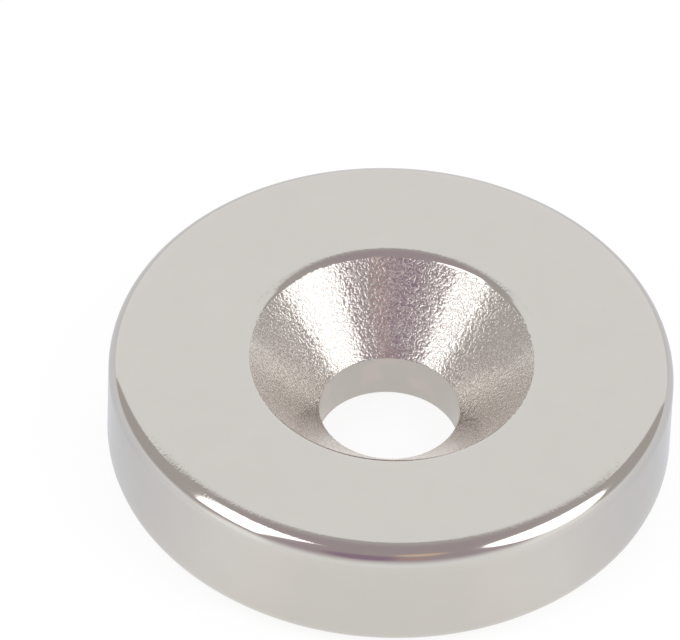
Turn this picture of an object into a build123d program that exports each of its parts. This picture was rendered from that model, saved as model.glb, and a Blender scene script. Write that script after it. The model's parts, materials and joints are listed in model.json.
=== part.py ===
from build123d import *
import os

# A flat ring magnet with a countersunk screw hole: one pressed, sintered and
# nickel-plated piece. Sizes are in millimetres over the plating. The origin is the
# centre of the back face, and +Z points out of the countersunk face.

# Body
outer_diameter = 18.0
thickness = 4.0

# Screw hole
bore_diameter = 4.5
countersink_diameter = 9.3  # where the cone meets the face, before its rim is rounded
countersink_angle = 90.0  # the whole angle of the cone, in degrees

# Edges, rounded by tumbling
face_edge_radius = 0.75  # outer edge of the countersunk face
back_edge_radius = 0.75  # outer edge of the back face
rim_radius = 0.5  # rim of the countersink
exit_radius = 0.1  # edge of the bore at the back face

# The most of the wall beside it that a rounding may take up
wall_share = 0.45


def sharp_ring():
    """The disc with its countersunk hole, all edges still sharp."""
    with BuildPart() as ring:
        Cylinder(
            radius=outer_diameter / 2,
            height=thickness,
            align=(Align.CENTER, Align.CENTER, Align.MIN),
        )
        with Locations((0, 0, thickness)):
            CounterSinkHole(
                radius=bore_diameter / 2,
                counter_sink_radius=countersink_diameter / 2,
                counter_sink_angle=countersink_angle,
            )
    return ring.part


def face_circles(ring, height):
    """The inner and the outer edge of the flat face at this height."""
    at_height = ring.edges().filter_by_position(Axis.Z, height, height)
    return at_height.filter_by(GeomType.CIRCLE).sort_by(SortBy.RADIUS)


def limited(radius, *walls):
    """The radius, or less where the narrowest wall beside it leaves no room."""
    return min(radius, wall_share * min(walls))


def rounded_ring():
    """The ring with its outer edges, the countersink's rim and the bore's exit rounded."""
    ring = sharp_ring()
    face_width = (outer_diameter - countersink_diameter) / 2
    back_width = (outer_diameter - bore_diameter) / 2
    face_round = limited(face_edge_radius, thickness, face_width)
    back_round = limited(back_edge_radius, thickness, back_width)
    rim_round = limited(rim_radius, thickness, face_width)
    exit_round = limited(exit_radius, thickness, back_width)

    ring = fillet(face_circles(ring, thickness)[-1], face_round)
    ring = fillet(face_circles(ring, thickness)[0], rim_round)
    ring = fillet(face_circles(ring, 0)[-1], back_round)
    ring = fillet(face_circles(ring, 0)[0], exit_round)
    return ring


os.makedirs("parts", exist_ok=True)
export_step(rounded_ring(), "parts/ring_magnet.step")
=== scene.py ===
import bpy
import json
import math
from bpy.props import FloatProperty, FloatVectorProperty, PointerProperty
from mathutils import Matrix, Quaternion, Vector


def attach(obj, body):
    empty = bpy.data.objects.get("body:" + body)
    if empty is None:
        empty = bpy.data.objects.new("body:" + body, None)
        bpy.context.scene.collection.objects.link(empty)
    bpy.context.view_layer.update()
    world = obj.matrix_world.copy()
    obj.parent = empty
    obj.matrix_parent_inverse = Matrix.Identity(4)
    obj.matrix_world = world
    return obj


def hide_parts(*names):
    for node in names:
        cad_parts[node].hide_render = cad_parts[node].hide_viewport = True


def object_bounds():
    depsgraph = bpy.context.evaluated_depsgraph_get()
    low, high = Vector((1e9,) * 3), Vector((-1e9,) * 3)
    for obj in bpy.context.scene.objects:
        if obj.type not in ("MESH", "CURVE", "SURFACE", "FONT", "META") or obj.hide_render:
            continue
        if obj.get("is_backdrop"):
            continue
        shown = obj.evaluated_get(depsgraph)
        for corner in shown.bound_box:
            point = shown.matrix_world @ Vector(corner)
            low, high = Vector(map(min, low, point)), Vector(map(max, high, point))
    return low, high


# A countersunk ring magnet: one turned ring, bright nickel plated all over, with mirror
# faces, tumbled edges, a pebbled screw seat and a satin bore. The ring is a section
# turned by Geometry Nodes. Its plate is procedural, and has a pale bloom on the seat.

bl_info = {
    "name": "Countersunk Ring Magnet",
    "version": (1, 0, 0),
    "blender": (4, 5, 0),
    "location": "View3D > Sidebar > Ring Magnet",
    "description": "Builds a nickel-plated ring magnet with a countersunk screw hole",
    "category": "Object",
}

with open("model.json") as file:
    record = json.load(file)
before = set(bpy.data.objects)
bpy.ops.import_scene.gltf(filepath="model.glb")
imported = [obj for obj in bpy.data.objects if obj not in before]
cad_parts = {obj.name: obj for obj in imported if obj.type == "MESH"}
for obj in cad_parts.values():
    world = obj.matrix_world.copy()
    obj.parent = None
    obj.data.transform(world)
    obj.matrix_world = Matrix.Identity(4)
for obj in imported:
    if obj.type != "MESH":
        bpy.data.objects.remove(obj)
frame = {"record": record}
CAD_LOW, CAD_HIGH = (corner.copy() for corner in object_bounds())
MILLIMETRE = 0.001
CAD_NODE = "ring_magnet"
PIECE = "plated_magnet"


def mount(name):
    """One of the record's mounts, by name."""
    return next(entry for entry in frame["record"]["mounts"] if entry["name"] == name)


OUTER_DIAMETER = CAD_HIGH.x - CAD_LOW.x
THICKNESS = CAD_HIGH.z - CAD_LOW.z
BORE_DIAMETER = 2 * mount("screw_bore")["dims"]["r_mm"] * MILLIMETRE


# Settings

def length(label, text, size):
    """A length property, given in millimetres and kept in metres."""
    return FloatProperty(
        name=label, description=text, default=size * MILLIMETRE, min=0, unit="LENGTH", precision=5)


def angle(label, text, degrees):
    """A rotation property, given in degrees and kept in radians."""
    return FloatProperty(
        name=label, description=text, default=math.radians(degrees), unit="ROTATION")


def number(label, text, value):
    """A plain number that can't be negative."""
    return FloatProperty(name=label, description=text, default=value, min=0)


def tone(label, text, value):
    """A colour property."""
    return FloatVectorProperty(
        name=label, description=text, default=value, subtype="COLOR", size=3, min=0, max=1)


class RingSizes(bpy.types.PropertyGroup):
    outer_diameter: length("Outer diameter", "Over the plating", OUTER_DIAMETER / MILLIMETRE)
    thickness: length("Thickness", "From face to face", THICKNESS / MILLIMETRE)
    bore_diameter: length("Bore", "Diameter of the screw hole", BORE_DIAMETER / MILLIMETRE)
    countersink_diameter: length("Countersink", "Where the cone meets the face", 9.3)
    countersink_angle: angle("Countersink angle", "The whole angle of the cone", 90)
    face_edge_radius: length("Face edge radius", "Outer edge of the countersunk face", 0.75)
    back_edge_radius: length("Back edge radius", "Outer edge of the back face", 0.75)
    rim_radius: length("Rim radius", "Rounding of the countersink's rim", 0.6)
    rim_turn: angle("Rim turn", "How far the rim rounds over before it meets the cone", 31)
    crease_radius: length("Crease radius", "Where the cone meets the bore", 0.03)
    exit_radius: length("Exit radius", "Edge of the bore at the back face", 0.1)
    grain_size: length("Grain size", "Width of one pebble in the screw seat", 0.11)
    grain_height: length("Grain height", "Height of the pebbles in the screw seat", 0.012)


class PlateFinish(bpy.types.PropertyGroup):
    nickel: tone("Nickel", "Colour of the bright plate", (0.63, 0.604, 0.571))
    face_roughness: number("Face roughness", "Roughness of the tumbled outside", 0.09)
    seat_roughness: number("Seat roughness", "Roughness of the pebbled cone", 0.05)
    pit_roughness: number("Pit roughness", "Roughness in the hollows of the pebbled cone", 0.45)
    seat_bloom: number("Seat bloom", "Pale bloom of the pebbled cone, seen along it", 0.6)
    seat_bloom_tint: tone("Seat bloom tint", "Colour of the bloom", (1.0, 0.93, 0.86))
    speck_size: length("Speck size", "Width of the finest grain in the screw seat", 0.09)
    speck_height: length("Speck height", "Height of the finest grain", 0.0055)
    streak_width: length("Streak width", "Width of the radial marks beside the edges", 0.06)
    streak_height: length("Streak height", "Height of the radial marks", 0.0045)
    bore_roughness: number("Bore roughness", "Roughness of the hole's wall", 0.3)
    # Painted shade in the hole: this darkens the nickel in the bore a little.
    painted_bore_shade: tone("Bore shade", "How much of the nickel shows in the hole", (0.94, 0.93, 0.93))
    bore_blush: tone("Bore blush", "The warm patches in the hole", (1.0, 0.95, 0.94))
    patch_size: length("Patch size", "Width of the patches in the hole", 1.1)


class StudioSettings(bpy.types.PropertyGroup):
    floor: tone("Floor", "Colour of the floor", (0.8, 0.8, 0.8))
    surround: tone("Surround", "Colour of the backdrop", (1.0, 1.0, 1.0))
    ceiling: tone("Ceiling", "Colour of the dark ceiling", (0.48, 0.41, 0.44))
    ceiling_sides: tone("Ceiling sides", "Its colour low down at both sides", (0.53, 0.5, 0.49))
    lamp_radiance: number("Lamp radiance", "Brightness of the soft boxes, where 1 is white", 1.9)
    camera_elevation: angle("Camera elevation", "Height of the camera above the face", 45.3532)
    camera_roll: angle("Camera roll", "Turn of the camera about its own axis", 2.5778)
    camera_distance: length("Camera distance", "From the middle of the ring", 337.571)
    focal_length: length("Focal length", "Focal length on a 36 mm sensor", 560.0)


# Node trees

MIX_FIRST, MIX_SECOND, MIX_RESULT = 6, 7, 2  # a Mix node's sockets when it mixes colours


class Builder:
    """Adds nodes to one tree. An input takes a plain value or another node's output."""

    def __init__(self, tree):
        self.tree = tree

    def add(self, kind, inputs=None, **settings):
        node = self.tree.nodes.new(kind)
        for name, value in settings.items():
            setattr(node, name, value)
        for key, value in (inputs or {}).items():
            self.feed(node.inputs[key], value)
        return node

    def feed(self, socket, value):
        if isinstance(value, bpy.types.NodeSocket):
            self.tree.links.new(value, socket)
        else:
            socket.default_value = value

    def math(self, operation, *values, clamp=False):
        inputs = dict(enumerate(values))
        return self.add("ShaderNodeMath", inputs, operation=operation, use_clamp=clamp).outputs[0]

    def vector(self, operation, *values):
        inputs = dict(enumerate(values))
        node = self.add("ShaderNodeVectorMath", inputs, operation=operation)
        return node.outputs["Value" if operation in ("LENGTH", "DISTANCE", "DOT_PRODUCT") else 0]

    def scaled(self, vector, factor):
        node = self.add("ShaderNodeVectorMath", {0: vector, "Scale": factor}, operation="SCALE")
        return node.outputs[0]

    def split(self, vector):
        return self.add("ShaderNodeSeparateXYZ", {0: vector}).outputs

    def join(self, x=0.0, y=0.0, z=0.0):
        return self.add("ShaderNodeCombineXYZ", {0: x, 1: y, 2: z}).outputs[0]

    def ramp(self, value, low, high, start=0.0, end=1.0):
        """A smooth step of value from start at low to end at high."""
        inputs = {"Value": value, "From Min": low, "From Max": high, "To Min": start, "To Max": end}
        return self.add("ShaderNodeMapRange", inputs, interpolation_type="SMOOTHSTEP").outputs[0]

    def noise(self, vector, scale, detail):
        inputs = {"Vector": vector, "Scale": scale, "Detail": detail}
        return self.add("ShaderNodeTexNoise", inputs).outputs[0]

    def mix(self, factor, first, second, **settings):
        """A colour between the first and the second."""
        inputs = {0: factor, MIX_FIRST: first, MIX_SECOND: second}
        node = self.add("ShaderNodeMix", data_type="RGBA", **settings)
        for key, value in inputs.items():
            self.feed(node.inputs[key], value)
        return node.outputs[MIX_RESULT]


def opaque(colour):
    """The colour with a full alpha, as a colour socket takes it."""
    return (*colour, 1.0)


# The ring

TURN_SEGMENTS = 640
SEAT_SPACING = 0.045 * MILLIMETRE  # between the rows of points down the screw seat
FACE_SPACING = 0.2 * MILLIMETRE
PLAIN_SPACING = 0.5 * MILLIMETRE
LEVEL_REACH = SEAT_SPACING / 100  # how near to the face's height counts as on the face
FLAT_MARGIN = 0.03 * MILLIMETRE  # keeps the flat face's shading flat right up to its edges
SEAT_MAP_SHARE = 2.0  # how much more of the UV map the screw seat gets for its length
RIM_FLAT = 0.25  # the straight run from the rim's rounding to the cone, in its tangent lengths
RIM_FADE = 0.08  # how far the normal tips up past the cone's, as a cosine, before pebbles fade
HALF_LOOP = 0.5  # half of a loop's own measure, which runs from 0 to 1
SEATED = 0.5  # how much of the seat's mask a face needs to take the seat's plate
SEED = 4.0  # where in the noise the pebbles are taken from

# The tree's input for each size.
RING_INPUTS = {size.replace("_", " ").title(): size for size in RingSizes.__annotations__}


def ring_tree():
    """The node tree that turns the ring's section about its axis and pebbles its screw seat."""
    tree = bpy.data.node_groups.new("Turned ring", "GeometryNodeTree")
    sockets = tree.interface
    for label in RING_INPUTS:
        sockets.new_socket(label, in_out="INPUT", socket_type="NodeSocketFloat")
    for label in ("Plate", "Seat Plate"):
        sockets.new_socket(label, in_out="INPUT", socket_type="NodeSocketMaterial")
    sockets.new_socket("Ring", in_out="OUTPUT", socket_type="NodeSocketGeometry")
    make = Builder(tree)
    given = make.add("NodeGroupInput").outputs
    section, along = section_curve(make, given)
    solid, pebbled = turned_solid(make, section, along, given)
    smooth = make.add("GeometryNodeSetShadeSmooth", {"Geometry": solid}).outputs[0]
    plain = make.add("GeometryNodeRealizeInstances", {"Geometry": smooth}).outputs[0]
    plated = make.add("GeometryNodeSetMaterial", {"Geometry": plain, "Material": given["Plate"]})
    seated = make.add(
        "GeometryNodeSetMaterial",
        {
            "Geometry": plated.outputs[0],
            "Selection": make.math("GREATER_THAN", pebbled, SEATED),
            "Material": given["Seat Plate"],
        },
    )
    make.add("NodeGroupOutput", {"Ring": seated.outputs[0]})
    return tree


def by_index(make, kind, values):
    """One of the values for each point, by the point's index."""
    switch = make.add("GeometryNodeIndexSwitch", data_type=kind)
    while len(switch.index_switch_items) < len(values):
        switch.index_switch_items.new()
    make.feed(switch.inputs["Index"], make.add("GeometryNodeInputIndex").outputs[0])
    for index, value in enumerate(values):
        make.feed(switch.inputs[str(index)], value)
    return switch.outputs[0]


def half_of(make, whole):
    return make.math("MULTIPLY", whole, 0.5)


def half_tangent(make, whole):
    """The tangent of half an angle."""
    return make.math("TANGENT", half_of(make, whole))


def crease_height(make, given):
    """Where the cone meets the bore."""
    across = make.math("SUBTRACT", given["Countersink Diameter"], given["Bore Diameter"])
    slope = half_tangent(make, given["Countersink Angle"])
    depth = make.math("DIVIDE", half_of(make, across), slope)
    return make.math("SUBTRACT", given["Thickness"], depth)


def rim_corners(make, given, sink):
    """Where the flat face ends, and the corners before and after the rim's rounding."""
    turn = given["Rim Turn"]
    tangent = make.math("MULTIPLY", given["Rim Radius"], half_tangent(make, turn))
    run = make.math("MULTIPLY", tangent, 1 + RIM_FLAT)
    across = make.math("MULTIPLY", run, make.math("COSINE", turn))
    down = make.math("MULTIPLY", run, make.math("SINE", turn))
    cone_slope = half_tangent(make, given["Countersink Angle"])
    low_radius = make.math("SUBTRACT", sink, make.math("MULTIPLY", down, cone_slope))
    high_radius = make.math("ADD", low_radius, across)
    flat_start = make.math("ADD", high_radius, make.math("ADD", tangent, FLAT_MARGIN))
    on_flat = make.join(flat_start, given["Thickness"])
    on_face = make.join(high_radius, given["Thickness"])
    on_cone = make.join(low_radius, make.math("SUBTRACT", given["Thickness"], down))
    return on_flat, on_face, on_cone


def to_next_point(make):
    """From each point of a curve, the next point and the middle between them."""
    here = make.add("GeometryNodeInputPosition").outputs[0]
    index = make.add("GeometryNodeInputIndex").outputs[0]
    step = make.add("GeometryNodeOffsetPointInCurve", {"Point Index": index, "Offset": 1})
    there = make.add(
        "GeometryNodeFieldAtIndex",
        {"Index": step.outputs["Point Index"], "Value": here},
        data_type="FLOAT_VECTOR",
    ).outputs[0]
    gap = make.vector("DISTANCE", here, there)
    middle = make.scaled(make.vector("ADD", here, there), 0.5)
    return gap, middle


def section_corners(make, given, outer, bore, sink, crease):
    """Each corner of the section: its place, its rounding, and the points that round it.

    The two plain points lie on the flat face, a margin inside of its two rounded edges."""
    top = given["Thickness"]
    edge = given["Face Edge Radius"]
    flat_end = make.math("SUBTRACT", outer, make.math("ADD", edge, FLAT_MARGIN))
    on_flat, on_face, on_cone = rim_corners(make, given, sink)
    return (
        (make.join(bore, 0.0), given["Exit Radius"], 3),
        (make.join(outer, 0.0), given["Back Edge Radius"], 8),
        (make.join(outer, top), edge, 16),
        (make.join(flat_end, top), 0.0, 0),
        (on_flat, 0.0, 0),
        (on_face, given["Rim Radius"], 10),
        (on_cone, given["Crease Radius"], 2),
        (make.join(bore, crease), given["Crease Radius"], 3),
    )


def rounded_outline(make, corners):
    """The closed line round the corners, each of them rounded."""
    places, radii, counts = zip(*corners)
    line = make.add("GeometryNodeMeshLine", {"Count": len(corners)})
    placed = make.add(
        "GeometryNodeSetPosition",
        {"Geometry": line.outputs[0], "Position": by_index(make, "VECTOR", places)},
    )
    curve = make.add("GeometryNodeMeshToCurve", {"Mesh": placed.outputs[0]})
    closed = make.add("GeometryNodeSetSplineCyclic", {"Geometry": curve.outputs[0], "Cyclic": True})
    return make.add(
        "GeometryNodeFilletCurve",
        {
            "Curve": closed.outputs[0],
            "Count": by_index(make, "INT", counts),
            "Radius": by_index(make, "FLOAT", radii),
            "Limit Radius": True,
        },
        mode="POLY",
    ).outputs[0]


def section_curve(make, given):
    """The closed section, radius along X and height along Y, and how far along it a point is."""
    outer = half_of(make, given["Outer Diameter"])
    bore = half_of(make, given["Bore Diameter"])
    sink = half_of(make, given["Countersink Diameter"])
    crease = crease_height(make, given)
    outline = rounded_outline(make, section_corners(make, given, outer, bore, sink, crease))
    gap, middle = to_next_point(make)
    radius, height, _ = make.split(middle)
    in_seat = seat_test(make, radius, height, bore, sink, crease)
    at_face = make.math(
        "GREATER_THAN", height, make.math("SUBTRACT", given["Thickness"], LEVEL_REACH))
    spacing = make.math("MULTIPLY_ADD", at_face, FACE_SPACING - PLAIN_SPACING, PLAIN_SPACING)
    spacing = make.add(
        "GeometryNodeSwitch",
        {"Switch": in_seat, "False": spacing, "True": SEAT_SPACING},
        input_type="FLOAT",
    ).outputs[0]
    cuts = make.math("FLOOR", make.math("DIVIDE", gap, spacing))
    divided = make.add("GeometryNodeSubdivideCurve", {"Curve": outline, "Cuts": cuts}).outputs[0]
    weight = make.math("MULTIPLY_ADD", in_seat, SEAT_MAP_SHARE - 1, 1.0)
    run = make.add(
        "GeometryNodeAccumulateField",
        {"Value": make.math("MULTIPLY", gap, weight)},
        data_type="FLOAT", domain="POINT")
    along = make.math("DIVIDE", run.outputs["Trailing"], run.outputs["Total"])
    return divided, along


def seat_test(make, radius, height, bore, sink, crease):
    """1 where a piece of the section is the cone of the screw seat."""
    past_bore = make.math("GREATER_THAN", radius, make.math("ADD", bore, SEAT_SPACING))
    inside = make.math("LESS_THAN", radius, sink)
    above = make.math("GREATER_THAN", height, crease)
    return make.math("MULTIPLY", make.math("MULTIPLY", past_bore, inside), above)


def captured(make, geometry, value, kind):
    """The geometry with a value kept on its points, and that value."""
    node = make.add("GeometryNodeCaptureAttribute", domain="POINT")
    node.capture_items.new(kind, "Kept")
    make.feed(node.inputs["Geometry"], geometry)
    make.feed(node.inputs["Kept"], value)
    return node.outputs["Geometry"], node.outputs["Kept"]


def turned_solid(make, section, along, given):
    """The section swept once round the axis, with its map, its masks and its pebbled seat."""
    position = make.add("GeometryNodeInputPosition").outputs[0]
    section, along = captured(make, section, along, "FLOAT")
    section, place = captured(make, section, position, "VECTOR")
    circle = make.add(
        "GeometryNodeCurvePrimitiveCircle",
        {"Resolution": TURN_SEGMENTS, "Radius": given["Outer Diameter"]},
    ).outputs[0]
    factor = make.add("GeometryNodeSplineParameter").outputs["Factor"]
    circle, turn = captured(make, circle, factor, "FLOAT")
    swept = make.add(
        "GeometryNodeCurveToMesh", {"Curve": circle, "Profile Curve": section}).outputs[0]
    outward = make.add("GeometryNodeFlipFaces", {"Mesh": swept}).outputs[0]
    bearing = make.math("MULTIPLY", turn, 2 * math.pi)
    radius, height, _ = make.split(place)
    x = make.math("MULTIPLY", radius, make.math("COSINE", bearing))
    y = make.math("MULTIPLY", radius, make.math("SINE", bearing))
    turned = make.add(
        "GeometryNodeSetPosition", {"Geometry": outward, "Position": make.join(x, y, height)})
    mapped = bake_map(make, turned.outputs[0], turn, along)
    masked, pebbled = seat_mask(make, mapped, radius, given)
    return pebbles(make, masked, pebbled, given), pebbled


def unwrapped(make, value):
    """A value that runs from 0 to 1 round a loop, carried past 1 on the faces that close it."""
    face = make.add(
        "GeometryNodeFieldOnDomain", {"Value": value}, data_type="FLOAT", domain="FACE").outputs[0]
    away = make.math("ABSOLUTE", make.math("SUBTRACT", value, face))
    closing = make.math("GREATER_THAN", away, HALF_LOOP / 2)
    starting = make.math("LESS_THAN", value, HALF_LOOP)
    return make.math("MULTIPLY_ADD", closing, starting, value)


def bake_map(make, geometry, turn, along):
    """The piece's own UV map: once round the ring across, once round the section up."""
    place = make.join(unwrapped(make, turn), unwrapped(make, along))
    return make.add(
        "GeometryNodeStoreNamedAttribute",
        {"Geometry": geometry, "Name": "OFBake", "Value": place},
        data_type="FLOAT2", domain="CORNER",
    ).outputs[0]


def stored(make, geometry, name, value):
    """The geometry with a named attribute that its material reads."""
    return make.add(
        "GeometryNodeStoreNamedAttribute",
        {"Geometry": geometry, "Name": name, "Value": value},
        data_type="FLOAT", domain="POINT",
    ).outputs[0]


def seat_mask(make, geometry, radius, given):
    """1 on the cone, falling to 0 over its rim and its crease, and the bore's own mask."""
    tilt = make.split(make.add("GeometryNodeInputNormal").outputs[0])[2]
    slope = make.math("SINE", half_of(make, given["Countersink Angle"]))
    steep = make.math("ADD", slope, RIM_FADE)
    flat = make.math("ADD", steep, RIM_FADE / 2)
    over_rim = make.ramp(tilt, steep, flat, 1.0, 0.0)
    over_crease = make.ramp(tilt, 0.0, slope)
    mean_diameter = half_of(
        make, make.math("ADD", given["Outer Diameter"], given["Countersink Diameter"]))
    inside = make.math("LESS_THAN", radius, half_of(make, mean_diameter))
    pebbled = make.math("MULTIPLY", make.math("MULTIPLY", over_rim, over_crease), inside)
    upright = make.ramp(make.math("ABSOLUTE", tilt), 0.0, slope, 1.0, 0.0)
    bored = make.math("MULTIPLY", upright, inside)
    geometry, pebbled = captured(make, geometry, pebbled, "FLOAT")
    geometry = stored(make, geometry, "pebbled", pebbled)
    geometry = stored(make, geometry, "bored", bored)
    return geometry, pebbled


def pebbles(make, geometry, pebbled, given):
    """The seat's skin raised and sunk along its normal by a fine noise."""
    position = make.add("GeometryNodeInputPosition").outputs[0]
    normal = make.add("GeometryNodeInputNormal").outputs[0]
    grain = make.noise(
        make.vector("ADD", position, (SEED, SEED, SEED)),
        make.math("DIVIDE", 1.0, given["Grain Size"]), detail=1.0)
    raised = make.math("SUBTRACT", grain, 0.5)
    height = make.math("MULTIPLY", raised, given["Grain Height"])
    lift = make.scaled(normal, make.math("MULTIPLY", height, pebbled))
    return make.add("GeometryNodeSetPosition", {"Geometry": geometry, "Offset": lift}).outputs[0]


def settle_mesh(shell):
    """Gives the object its evaluated shape as a plain mesh, with no modifier left."""
    bpy.context.view_layer.update()
    graph = bpy.context.evaluated_depsgraph_get()
    mesh = bpy.data.meshes.new_from_object(shell.evaluated_get(graph))
    shell.modifiers.clear()
    spare = shell.data
    shell.data = mesh
    bpy.data.meshes.remove(spare)
    mesh.name = shell.name


def build_ring(sizes, plate, seat_plate):
    """The plated ring, turned by its node tree from the sizes."""
    shell = bpy.data.objects.new(PIECE, bpy.data.meshes.new(PIECE))
    bpy.context.scene.collection.objects.link(shell)
    turning = shell.modifiers.new("Turned ring", "NODES")
    turning.node_group = ring_tree()
    sockets = turning.node_group.interface.items_tree
    named = {socket.name: socket.identifier for socket in sockets if socket.in_out == "INPUT"}
    for label, size in RING_INPUTS.items():
        turning[named[label]] = getattr(sizes, size)
    turning[named["Plate"]] = plate
    turning[named["Seat Plate"]] = seat_plate
    settle_mesh(shell)
    return shell


# The plate

SPECK_FOOT, SPECK_TOP = 0.42, 0.62  # the noise between which a speck rises
PIT_FOOT, PIT_TOP = 0.34, 0.42  # the noise between which a pit turns bright
CLOUD_FOOT, CLOUD_TOP = 0.35, 0.7  # the noise between which a cloud clears
PATCH_FOOT, PATCH_TOP = 0.45, 0.65  # the noise between which a patch in the bore blushes
CLOUD_SCALE = 900.0  # clouds to the metre
CLOUD_SHADE = 0.985  # how bright the plate is under a cloud
BLOOM_ROUGHNESS = 0.5
STREAK_LENGTH = 1.6  # of a radial mark, in widths
WORN_START = 0.04 * MILLIMETRE  # how far the marks run out onto the flat from the outer edge
WORN_FULL = 0.14 * MILLIMETRE  # how far over that edge they are at their full height
WORN_END = 0.22 * MILLIMETRE  # how far over it they begin to fade, and how far into the rim they go
RIM_REACH = 0.06 * MILLIMETRE  # over which they fade out, to each side of the rim's start


def nickel_plate(name, bloom, finish, sizes):
    """Bright nickel: mirror outside, pebbled seat, satin bore. Bloom is its weight of sheen."""
    plate = bpy.data.materials.new(name)
    plate.use_nodes = True
    tree = plate.node_tree
    tree.nodes.clear()
    make = Builder(tree)
    place = make.add("ShaderNodeTexCoord").outputs["Object"]
    pebbled = make.add("ShaderNodeAttribute", attribute_name="pebbled").outputs["Fac"]
    bored = make.add("ShaderNodeAttribute", attribute_name="bored").outputs["Fac"]
    specks = make.noise(place, 1 / finish.speck_size, detail=1.0)
    surface = make.add(
        "ShaderNodeBsdfPrincipled",
        {
            "Base Color": plate_colour(make, place, bored, finish),
            "Metallic": 1.0,
            "Roughness": plate_roughness(make, specks, pebbled, bored, finish),
            "Normal": plate_relief(make, place, specks, pebbled, finish, sizes),
            "Sheen Weight": bloom,
            "Sheen Roughness": BLOOM_ROUGHNESS,
            "Sheen Tint": opaque(finish.seat_bloom_tint),
        },
    )
    make.add("ShaderNodeOutputMaterial", {"Surface": surface.outputs[0]})
    return plate


def plate_colour(make, place, bored, finish):
    """The nickel's own colour, with faint clouds; in the bore it is darkened a little as painted
    shade, and warmer in patches.
    """
    clear = make.ramp(make.noise(place, CLOUD_SCALE, detail=3.0), CLOUD_FOOT, CLOUD_TOP)
    clouded = [share * CLOUD_SHADE for share in finish.nickel]
    nickel = make.mix(clear, opaque(clouded), opaque(finish.nickel))
    blushes = make.noise(place, 1 / finish.patch_size, detail=1.0)
    patch = make.ramp(blushes, PATCH_FOOT, PATCH_TOP)
    # The bore's painted shade, with its warm patches.
    shade_and_blush = make.mix(patch, opaque(finish.painted_bore_shade), opaque(finish.bore_blush))
    shade_and_blush_in_bore = make.mix(bored, opaque((1.0, 1.0, 1.0)), shade_and_blush)
    return make.mix(1.0, nickel, shade_and_blush_in_bore, blend_type="MULTIPLY")


def plate_roughness(make, specks, pebbled, bored, finish):
    """Smooth on the outside, bright with dull pits in the seat, and satin in the bore."""
    outside = finish.face_roughness
    seat = make.ramp(specks, PIT_FOOT, PIT_TOP, finish.pit_roughness, finish.seat_roughness)
    rough = make.math("MULTIPLY_ADD", pebbled, make.math("SUBTRACT", seat, outside), outside)
    return make.math("MULTIPLY_ADD", bored, finish.bore_roughness - outside, rough)


def plate_relief(make, place, specks, pebbled, finish, sizes):
    """The finest grain in the seat over the radial marks that tumbling leaves beside the edges."""
    x, y, _ = make.split(place)
    flat = make.join(x, y)
    radius = make.vector("LENGTH", flat)
    spoke = make.vector("NORMALIZE", flat)
    outer = sizes.outer_diameter / 2
    inner = rim_start(sizes)
    beyond = make.math("GREATER_THAN", radius, (inner + outer) / 2)
    nearest = make.math("MULTIPLY_ADD", beyond, outer - inner, inner)
    around = make.scaled(spoke, make.math("DIVIDE", nearest, finish.streak_width))
    outwards = make.math("DIVIDE", radius, finish.streak_width * STREAK_LENGTH)
    streaked = make.vector("ADD", around, make.join(z=outwards))
    streaks = make.math("SUBTRACT", make.noise(streaked, 1.0, detail=1.0), 0.5)
    streaks = make.math("MULTIPLY", streaks, worn_edges(make, radius, sizes))
    marked = make.add("ShaderNodeBump", {"Distance": finish.streak_height, "Height": streaks})
    specks = make.math("MULTIPLY", make.ramp(specks, SPECK_FOOT, SPECK_TOP), pebbled)
    return make.add(
        "ShaderNodeBump",
        {"Distance": finish.speck_height, "Height": specks, "Normal": marked.outputs[0]},
    ).outputs[0]


def worn_edges(make, radius, sizes):
    """1 where the face turns over into its outer edge and its rim, fading out on the flat."""
    edge = sizes.outer_diameter / 2 - sizes.face_edge_radius
    rim = rim_start(sizes)
    outer = make.math(
        "MULTIPLY",
        make.ramp(radius, edge - WORN_START, edge + WORN_FULL),
        make.ramp(radius, edge + WORN_END, edge + 2 * WORN_END, 1.0, 0.0))
    inner = make.math(
        "MULTIPLY",
        make.ramp(radius, rim - WORN_END, rim - WORN_END / 2),
        make.ramp(radius, rim - RIM_REACH, rim + RIM_REACH, 1.0, 0.0))
    return make.math("ADD", inner, outer)


def rim_start(sizes):
    """The radius at which the flat face turns over into the rim."""
    tangent = sizes.rim_radius * math.tan(sizes.rim_turn / 2)
    run = tangent * (1 + RIM_FLAT)
    down = run * math.sin(sizes.rim_turn)
    low_radius = sizes.countersink_diameter / 2 - down * math.tan(sizes.countersink_angle / 2)
    return low_radius + run * math.cos(sizes.rim_turn) + tangent


class OBJECT_OT_plated_ring(bpy.types.Operator):
    """Turn the ring from its section and plate it"""
    bl_idname = "object.plated_ring"
    bl_label = "Plated Ring"

    def execute(self, context):
        sizes = context.scene.ring_sizes
        finish = context.scene.plate_finish
        plate = nickel_plate("Nickel plate", 0.0, finish, sizes)
        seat_plate = nickel_plate("Pebbled nickel plate", finish.seat_bloom, finish, sizes)
        ring = build_ring(sizes, plate, seat_plate)
        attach(ring, "root")
        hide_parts(CAD_NODE)
        return {"FINISHED"}


# The studio

FRAME_WIDTH, FRAME_HEIGHT = 680, 640
CENTRE_PIXEL = (389.96, 399.507)  # where the middle of the ring stands in the frame
SENSOR_WIDTH = 36.0  # in millimetres, as a lens is given
CLIP_START, CLIP_END = 0.01, 10.0
FLOOR_SIZE = 6.0
FLOOR_DROP = 0.01 * MILLIMETRE

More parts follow.
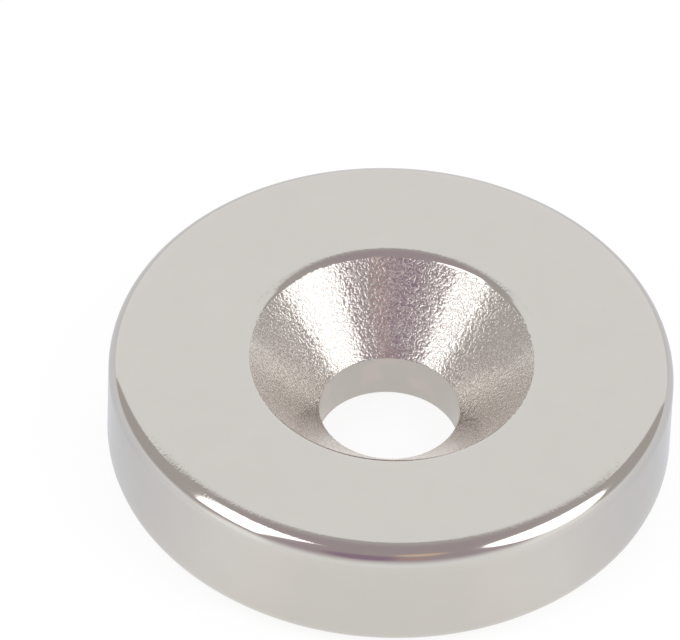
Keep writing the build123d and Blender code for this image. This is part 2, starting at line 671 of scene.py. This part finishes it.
# The surround, by compass bearing from the camera's side: where the dark ceiling begins
# and where it is full, in degrees above the horizon.
CEILING_EDGE = (
    (0, 12, 46),
    (45, 10, 40),
    (85, 3, 22),
    (119, -8, 2),
    (126, -8, 2),
    (129, 50, 52),
    (155, 57, 59),
    (170, 58, 60),
    (184, 53.5, 55.5),
    (189, 48.5, 50),
    (200, 46, 48),
)
LAST_BEARING = 200  # a bearing and the backdrop's lean add up to no more than this
BACKDROP_LEAN = 0.2  # how far the backdrop's sides lean outwards, in degrees for each degree up

# Where the ceiling takes its side colour: past these bearings, and below these elevations.
SIDE_BEARINGS = (45, 85)
SIDE_ELEVATIONS = (58, 76)

# Light that spills below the soft boxes, and darker and warmer patches round the camera:
# bearing, elevation and reach in degrees, and colour.
TINTS = (
    (-54, 9, 17, (1.14, 1.14, 1.14)),
    (66, 8, 21, (1.1, 1.1, 1.1)),
    (-8, 47, 15, (0.36, 0.26, 0.35)),
    (13, 45, 8, (0.54, 0.38, 0.37)),
    (20, 62, 8, (0.78, 0.62, 0.48)),
)
TINT_CORE = 0.4  # the share of a patch's reach that has its full colour

# The floor, as the ring mirrors it: a pool of light painted on it, its brightness and how cool it
# is, by the same bearings.
PAINTED_FLOOR_LIGHT = (
    (0, 0.7), (18, 0.7), (32, 0.74), (45, 0.74), (58, 0.67),
    (72, 0.62), (85, 0.57), (130, 0.55), (160, 0.58), (180, 0.65),
)
FLOOR_COOLNESS = ((0, 0.1), (30, 0.0), (50, 0.4), (90, 1.0), (180, 0.6))
WARM_WHITE = (1.0, 1.0, 0.98)
COOL_WHITE = (0.93, 0.97, 1.03)
# The painted pool of light takes its own level inside the hole, and grows lighter farther out at
# the sides.
PAINTED_HOLE_LIGHT = 0.66  # the floor's light in the middle of the hole
FAR_GAIN = 0.13  # how much lighter the floor is farther out, at both sides
FAR_START, FAR_END = 2 * MILLIMETRE, 16 * MILLIMETRE  # past the ring, where the gain builds up
FAR_SIDES = (35, 60, 105, 140)  # the bearings between which the gain comes and goes

# What a ray from the camera sees of the floor: its own light, and a share of its matt paint
# for the shadow. A mirrored ray takes a share of the paint too, on top of the painted pool of light
# above.
CAMERA_GLOW = 0.85
CAMERA_SHARE = 0.25
MIRROR_SHARE = 0.35

SOFT_BOX_DISTANCE = 0.3
SOFT_BOXES = (
    # name, shape, bearing, elevation and roll in degrees, width and height in metres
    ("Left soft box", "RECTANGLE", -66.5, 50.4, 12, 0.129, 0.217),
    ("Right soft box", "ELLIPSE", 71, 40, 20, 0.186, 0.248),
)


def direction(bearing, elevation):
    """A unit vector, by degrees round from the camera's side and above the horizon."""
    bearing, elevation = math.radians(bearing), math.radians(elevation)
    flat = math.cos(elevation)
    return Vector((math.sin(bearing) * flat, -math.cos(bearing) * flat, math.sin(elevation)))


def build_floor(settings):
    """The level floor just under the ring."""
    half = FLOOR_SIZE / 2
    low = CAD_LOW.z - FLOOR_DROP
    corners = [(x, y, low) for x, y in ((-half, -half), (half, -half), (half, half), (-half, half))]
    mesh = bpy.data.meshes.new("Floor")
    mesh.from_pydata(corners, [], [(0, 1, 2, 3)])
    floor = bpy.data.objects.new("Floor", mesh)
    bpy.context.scene.collection.objects.link(floor)
    mesh.materials.append(floor_material(settings))
    floor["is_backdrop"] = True


def floor_material(settings):
    """A pale matt floor that looks white where no shadow falls, and glows with a painted pool of
    light that the ring's side mirrors.
    """
    paint = bpy.data.materials.new("Pale floor")
    paint.use_nodes = True
    tree = paint.node_tree
    tree.nodes.clear()
    make = Builder(tree)
    path = make.add("ShaderNodeLightPath").outputs
    # Mirrored rays see the painted pool of light, camera rays an even glow.
    painted_pool = pool_of_light(make)
    glow = make.mix(path["Is Camera Ray"], painted_pool, opaque([CAMERA_GLOW] * 3))
    shown = make.math("ADD", path["Is Camera Ray"], path["Is Glossy Ray"], clamp=True)
    matt = make.add("ShaderNodeBsdfDiffuse", {"Color": opaque(settings.floor)})
    shine = make.add("ShaderNodeEmission", {"Color": glow, "Strength": shown})
    share = make.math("MULTIPLY_ADD", path["Is Camera Ray"], CAMERA_SHARE - 1, 1.0)
    share = make.math("MULTIPLY_ADD", path["Is Glossy Ray"], MIRROR_SHARE - 1, share)
    unlit = make.add("ShaderNodeEmission", {"Color": opaque((0, 0, 0))})
    seen = make.add("ShaderNodeMixShader", {0: share, 1: unlit.outputs[0], 2: matt.outputs[0]})
    both = make.add("ShaderNodeAddShader", {0: seen.outputs[0], 1: shine.outputs[0]})
    make.add("ShaderNodeOutputMaterial", {"Surface": both.outputs[0]})
    return paint


def bearing_of(make, x, y):
    """The bearing of a point, from 0 at the camera's side to half a turn, to either side."""
    return make.math("ABSOLUTE", make.math("ARCTAN2", x, make.math("MULTIPLY", y, -1.0)))


def pool_of_light(make):
    """A pool of light painted on the floor, seen only in reflections: brightest to each side of the
    camera, cooler and dimmer beyond.
    """
    x, y, _ = make.split(make.add("ShaderNodeTexCoord").outputs["Object"])
    bearing = bearing_of(make, x, y)
    round_about = bearing_curve(make, bearing, PAINTED_FLOOR_LIGHT, 1.0)
    radius = make.vector("LENGTH", make.join(x, y))
    edge = OUTER_DIAMETER / 2
    side_start, side_full, side_fade, side_end = map(math.radians, FAR_SIDES)
    aside = make.math(
        "MULTIPLY",
        make.ramp(bearing, side_start, side_full),
        make.ramp(bearing, side_fade, side_end, 1.0, 0.0))
    far = make.ramp(radius, edge + FAR_START, edge + FAR_END, 0.0, FAR_GAIN)
    gain = make.math("MULTIPLY_ADD", aside, far, 1.0)
    round_about = make.math("MULTIPLY", round_about, gain)
    outside = make.ramp(radius, BORE_DIAMETER / 2, edge)
    light = make.math("SUBTRACT", round_about, PAINTED_HOLE_LIGHT)
    light = make.math("MULTIPLY_ADD", outside, light, PAINTED_HOLE_LIGHT)
    cool = bearing_curve(make, bearing, FLOOR_COOLNESS, 1.0)
    cool = make.math("MULTIPLY", cool, outside)
    tint = make.mix(cool, opaque(WARM_WHITE), opaque(COOL_WHITE))
    return make.mix(1.0, tint, make.join(light, light, light), blend_type="MULTIPLY")


def build_soft_box(settings, name, shape, bearing, elevation, roll, width, height):
    """A flat lamp, rectangular or round, that stands beside the ring and faces it."""
    lamp = bpy.data.lights.new(name, "AREA")
    lamp.shape = shape
    lamp.size = width
    lamp.size_y = height
    area = width * height * (math.pi / 4 if shape == "ELLIPSE" else 1)
    lamp.energy = settings.lamp_radiance * area * math.pi
    box = bpy.data.objects.new(name, lamp)
    bpy.context.scene.collection.objects.link(box)
    away = direction(bearing, elevation)
    box.location = away * SOFT_BOX_DISTANCE
    box.rotation_mode = "QUATERNION"
    facing = away.to_track_quat("Z", "Y")
    box.rotation_quaternion = facing @ Quaternion((0, 0, 1), math.radians(roll))
    box.visible_camera = False


def bearing_curve(make, bearing, entries, most):
    """A value from 0 to most that follows (bearing in degrees, value) pairs in straight runs."""
    last = math.radians(LAST_BEARING)
    node = make.add("ShaderNodeFloatCurve", {"Value": make.math("DIVIDE", bearing, last)})
    curve = node.mapping.curves[0]
    while len(curve.points) < len(entries):
        curve.points.new(0, 0)
    for point, (degrees, value) in zip(curve.points, entries):
        point.location = (degrees / LAST_BEARING, value / most)
        point.handle_type = "VECTOR"
    node.mapping.update()
    return make.math("MULTIPLY", node.outputs[0], most)


def ceiling_edge(make, bearing, column):
    """The ceiling's edge at a bearing, as an elevation in radians. Column 1 starts, 2 is full."""
    entries = [(entry[0], entry[column] + 90) for entry in CEILING_EDGE]
    above_nadir = bearing_curve(make, bearing, entries, 180.0)
    return make.math("MULTIPLY_ADD", above_nadir, math.pi / 180, -math.pi / 2)


def tinted(make, sight, seen, bearing, elevation, reach, colour):
    """What is seen, with a soft round patch of colour in one direction."""
    near = make.vector("DOT_PRODUCT", sight, direction(bearing, elevation))
    rim = math.cos(math.radians(reach))
    core = math.cos(math.radians(reach * TINT_CORE))
    return make.mix(make.ramp(near, rim, core), seen, opaque(colour))


def build_world(settings):
    """A white backdrop and horizon under a dark ceiling that comes down beside the camera."""
    world = bpy.data.worlds.new("Studio")
    bpy.context.scene.world = world
    world.use_nodes = True
    tree = world.node_tree
    tree.nodes.clear()
    make = Builder(tree)
    sight = make.add("ShaderNodeTexCoord").outputs["Generated"]
    x, y, z = make.split(sight)
    bearing = bearing_of(make, x, y)
    elevation = make.math("ARCSINE", z)
    leant = make.math("MULTIPLY_ADD", elevation, BACKDROP_LEAN, bearing)
    start = ceiling_edge(make, leant, 1)
    full = ceiling_edge(make, leant, 2)
    shade = make.ramp(elevation, start, full)
    aside = make.math(
        "MULTIPLY",
        make.ramp(bearing, *map(math.radians, SIDE_BEARINGS)),
        make.ramp(elevation, *map(math.radians, SIDE_ELEVATIONS), 1.0, 0.0))
    ceiling = make.mix(aside, opaque(settings.ceiling), opaque(settings.ceiling_sides))
    seen = make.mix(shade, opaque(settings.surround), ceiling)
    for patch in TINTS:
        seen = tinted(make, sight, seen, *patch)
    camera_ray = make.add("ShaderNodeLightPath").outputs["Is Camera Ray"]
    seen = make.mix(camera_ray, seen, opaque(settings.surround))
    light = make.add("ShaderNodeBackground", {"Color": seen, "Strength": 1.0})
    make.add("ShaderNodeOutputWorld", {"Surface": light.outputs[0]})


def build_camera(settings):
    """A long lens that looks down on the ring, with the ring off the middle of the frame."""
    lens = bpy.data.cameras.new("Camera")
    lens.sensor_width = SENSOR_WIDTH
    lens.lens = settings.focal_length / MILLIMETRE
    lens.clip_start = CLIP_START
    lens.clip_end = CLIP_END
    camera = bpy.data.objects.new("Camera", lens)
    bpy.context.scene.collection.objects.link(camera)
    bpy.context.scene.camera = camera
    target = (CAD_LOW + CAD_HIGH) / 2
    back = direction(0, math.degrees(settings.camera_elevation))
    level = Matrix.Rotation(math.pi / 2 - settings.camera_elevation, 3, "X")
    rolled = level @ Matrix.Rotation(settings.camera_roll, 3, "Z")
    focal_pixels = FRAME_WIDTH * lens.lens / lens.sensor_width
    aside = Vector((
        (CENTRE_PIXEL[0] - FRAME_WIDTH / 2) / focal_pixels,
        (FRAME_HEIGHT / 2 - CENTRE_PIXEL[1]) / focal_pixels,
        -1.0,
    )).normalized()
    swing = aside.rotation_difference(Vector((0, 0, -1))).to_matrix()
    stand = Matrix.Translation(target + back * settings.camera_distance)
    camera.matrix_world = stand @ (rolled @ swing).to_4x4()


class OBJECT_OT_studio(bpy.types.Operator):
    """Set up the floor, the lamps, the surround and the camera"""
    bl_idname = "object.magnet_studio"
    bl_label = "Studio"

    def execute(self, context):
        settings = context.scene.studio_settings
        build_floor(settings)
        for box in SOFT_BOXES:
            build_soft_box(settings, *box)
        build_world(settings)
        build_camera(settings)
        context.scene.view_settings.view_transform = "Standard"
        return {"FINISHED"}


class VIEW3D_PT_ring_magnet(bpy.types.Panel):
    """The ring's sizes, its finish and its studio"""
    bl_label = "Ring Magnet"
    bl_space_type = "VIEW_3D"
    bl_region_type = "UI"
    bl_category = "Ring Magnet"

    def draw(self, context):
        scene = context.scene
        for settings, operator in (
            (scene.ring_sizes, None),
            (scene.plate_finish, OBJECT_OT_plated_ring),
            (scene.studio_settings, OBJECT_OT_studio),
        ):
            column = self.layout.column(align=True)
            for name in settings.__annotations__:
                column.prop(settings, name)
            if operator:
                self.layout.operator(operator.bl_idname)


CLASSES = (
    RingSizes,
    PlateFinish,
    StudioSettings,
    OBJECT_OT_plated_ring,
    OBJECT_OT_studio,
    VIEW3D_PT_ring_magnet,
)


def register():
    for kind in CLASSES:
        bpy.utils.register_class(kind)
    bpy.types.Scene.ring_sizes = PointerProperty(type=RingSizes)
    bpy.types.Scene.plate_finish = PointerProperty(type=PlateFinish)
    bpy.types.Scene.studio_settings = PointerProperty(type=StudioSettings)


def unregister():
    del bpy.types.Scene.studio_settings
    del bpy.types.Scene.plate_finish
    del bpy.types.Scene.ring_sizes
    for kind in reversed(CLASSES):
        bpy.utils.unregister_class(kind)


def main():
    register()
    bpy.ops.object.magnet_studio()
    bpy.ops.object.plated_ring()


if __name__ == "__main__":
    main()
